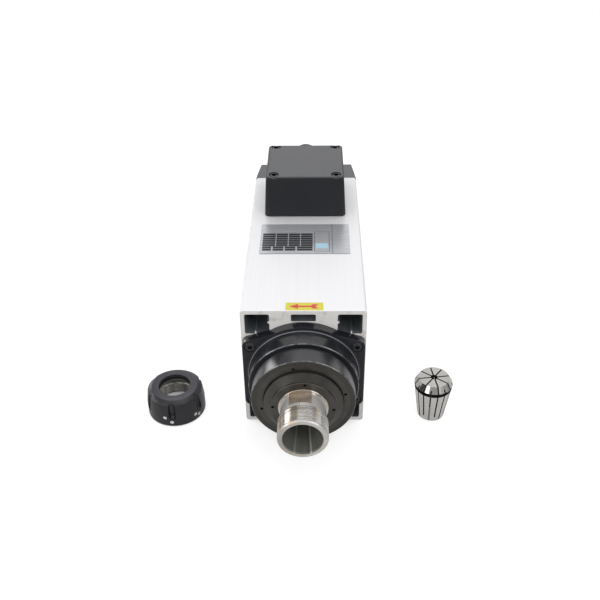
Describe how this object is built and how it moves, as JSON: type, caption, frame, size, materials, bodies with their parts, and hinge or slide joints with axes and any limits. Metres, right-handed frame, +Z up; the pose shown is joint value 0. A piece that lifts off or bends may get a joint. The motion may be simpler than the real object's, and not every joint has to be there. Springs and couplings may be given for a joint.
{
  "type": "motor spindle",
  "caption": "Square-bodied air-cooled motor spindle with a terminal box, a threaded nose with a taper socket, and its collet nut and spring collet set beside it.",
  "frame": {"origin": "centre of the motor body's flat bottom mounting face", "axes": "+Y back along the spindle from nose to fan cover, the nose thread facing -Y; +X to the right seen from the nose's side with the terminal box up; +Z up, away from the mounting face"},
  "size_m": [0.27, 0.3565, 0.161],
  "materials": {
    "clear_anodised_aluminium": "satin anodised, faint drawn lines along its length",
    "black_anodised_aluminium": "turned and black anodised, satin",
    "black_oxide_steel": "turned steel, black oxide, oiled",
    "ground_steel": "turned and ground bright",
    "bearing_steel": "ground",
    "lamination_steel": "stacked sheet edges",
    "cast_aluminium": "as cast, machined faces",
    "varnished_winding": "taped and varnished",
    "moulded_abs": "moulded, fine spark texture",
    "fan_nylon": "moulded",
    "gland_nylon": "moulded",
    "nitrile_rubber": "matte",
    "turned_brass": "turned",
    "slip_bronze": "turned",
    "black_screw_steel": "black oxide",
    "spring_steel": "blued",
    "phenolic_board": "moulded",
    "lead_insulation": "silicone sleeve"
  },
  "bodies": {
    "frame": {"motor_housing": "clear_anodised_aluminium", "front_bearing_housing": "black_anodised_aluminium", "flange_screws": "black_screw_steel", "bearing_lock_ring": "black_oxide_steel", "front_bearing_outer_races": "bearing_steel", "outer_race_spacer": "ground_steel", "stator_core": "lamination_steel", "stator_end_windings": "varnished_winding", "rear_end_plate": "cast_aluminium", "rear_plate_screws": "black_screw_steel", "rear_bearing_outer_race": "bearing_steel", "preload_spring": "spring_steel", "fan_cover": "moulded_abs", "fan_cover_screws": "black_screw_steel", "terminal_box_base": "moulded_abs", "terminal_box_gasket": "nitrile_rubber", "terminal_box_cover": "moulded_abs", "box_cover_screws": "black_screw_steel", "box_base_screws": "ground_steel", "earth_screw": "turned_brass", "terminal_board": "phenolic_board", "terminal_studs": "turned_brass", "terminal_nuts": "turned_brass", "winding_leads": "lead_insulation", "gland_body": "gland_nylon", "gland_locknut": "gland_nylon", "gland_cap": "gland_nylon", "gland_seal": "nitrile_rubber"},
    "rotor": {"spindle_shaft": "ground_steel", "labyrinth_disc": "black_oxide_steel", "front_bearing_inner_races": "bearing_steel", "inner_race_spacer": "ground_steel", "shaft_locknut": "black_oxide_steel", "rotor_core": "lamination_steel", "rotor_end_rings": "cast_aluminium", "rear_bearing_inner_race": "bearing_steel", "cooling_fan": "fan_nylon", "fan_clip": "spring_steel"},
    "front_cages": {"front_bearing_cages": "turned_brass"},
    "rear_cage": {"rear_bearing_cage": "turned_brass"},
    "nut": {"collet_nut": "black_oxide_steel", "nut_slip_washer": "slip_bronze"},
    "extractor": {"nut_extractor_ring": "ground_steel"},
    "collet": {"spring_collet": "ground_steel"}
  },
  "joints": [
    {"name": "spindle_spin", "type": "hinge", "parent": "frame", "child": "rotor", "pos_m": [0, 0, 0.06], "axis": [0, -1, 0], "continuous": true},
    {"name": "front_cage_spin", "type": "hinge", "parent": "frame", "child": "front_cages", "pos_m": [0, -0.14, 0.06], "axis": [0, -1, 0], "continuous": true},
    {"name": "rear_cage_spin", "type": "hinge", "parent": "frame", "child": "rear_cage", "pos_m": [0, 0.11, 0.06], "axis": [0, -1, 0], "continuous": true},
    {"name": "nut_lift", "type": "slide", "parent": "frame", "child": "nut", "axis": [0, 0, 1], "range_m": [0, 0.12]},
    {"name": "extractor_spin", "type": "hinge", "parent": "nut", "child": "extractor", "pos_m": [-0.1154, -0.0988, 0.018], "axis": [0, 0, 1], "continuous": true},
    {"name": "collet_lift", "type": "slide", "parent": "frame", "child": "collet", "axis": [0, 0, 1], "range_m": [0, 0.12]}
  ],
  "couplings": [
    {"joint": "front_cage_spin", "follows": "spindle_spin", "ratio": 0.42},
    {"joint": "rear_cage_spin", "follows": "spindle_spin", "ratio": 0.4}
  ]
}
